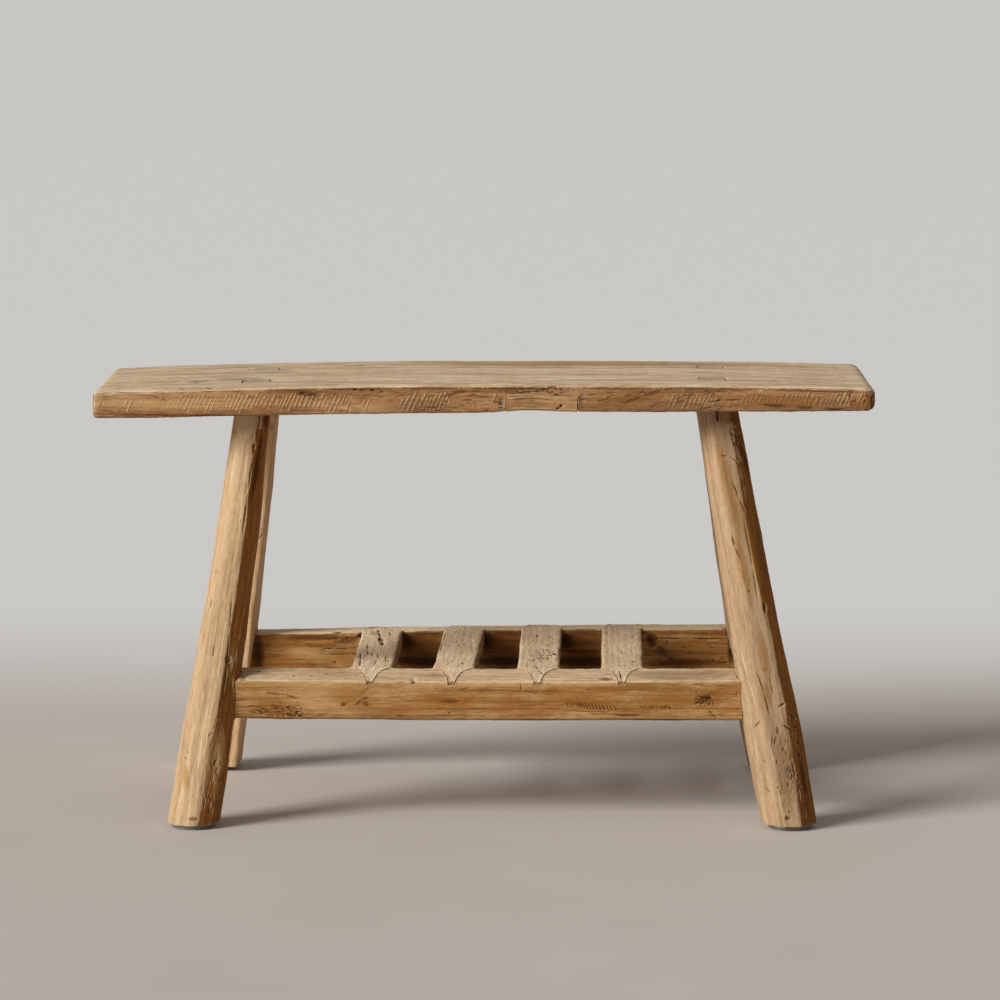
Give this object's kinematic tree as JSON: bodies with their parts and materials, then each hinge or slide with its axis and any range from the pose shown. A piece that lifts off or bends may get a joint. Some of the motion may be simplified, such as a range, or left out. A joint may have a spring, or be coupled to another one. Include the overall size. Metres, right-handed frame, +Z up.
{
  "type": "rustic bench",
  "caption": "Rustic wooden bench: thick plank seat on splayed hewn legs, with low rails and a slatted shelf.",
  "frame": {"origin": "on the floor, under the middle of the bench's whole box", "axes": "+X along the seat, +Y from the front to the back, +Z up"},
  "size_m": [0.907, 0.4364, 0.512],
  "materials": {
    "seat_wood": "bare aged teak, sawn and worn",
    "leg_wood": "bare teak, hewn facets",
    "rail_wood": "bare aged teak",
    "slat_wood": "weathered grey teak",
    "patch_wood": "bare teak, sanded flush",
    "wedge_wood": "end grain, greyed",
    "peg_wood": "whittled hardwood",
    "glide_plastic": "hazy plastic"
  },
  "bodies": {
    "root": {"seat_plank": "seat_wood", "edge_patch": "patch_wood", "leg_front_left": "leg_wood", "leg_front_right": "leg_wood", "leg_back_left": "leg_wood", "leg_back_right": "leg_wood", "tenon_wedge_front_left": "wedge_wood", "tenon_wedge_front_right": "wedge_wood", "tenon_wedge_back_left": "wedge_wood", "tenon_wedge_back_right": "wedge_wood", "rail_peg_front_left": "peg_wood", "rail_peg_front_right": "peg_wood", "rail_peg_back_left": "peg_wood", "rail_peg_back_right": "peg_wood", "foot_glide_front_left": "glide_plastic", "foot_glide_front_right": "glide_plastic", "foot_glide_back_left": "glide_plastic", "foot_glide_back_right": "glide_plastic", "rail_front": "rail_wood", "rail_back": "rail_wood", "shelf_slat_1": "slat_wood", "shelf_slat_2": "slat_wood", "shelf_slat_3": "slat_wood", "shelf_slat_4": "slat_wood"}
  },
  "joints": []
}
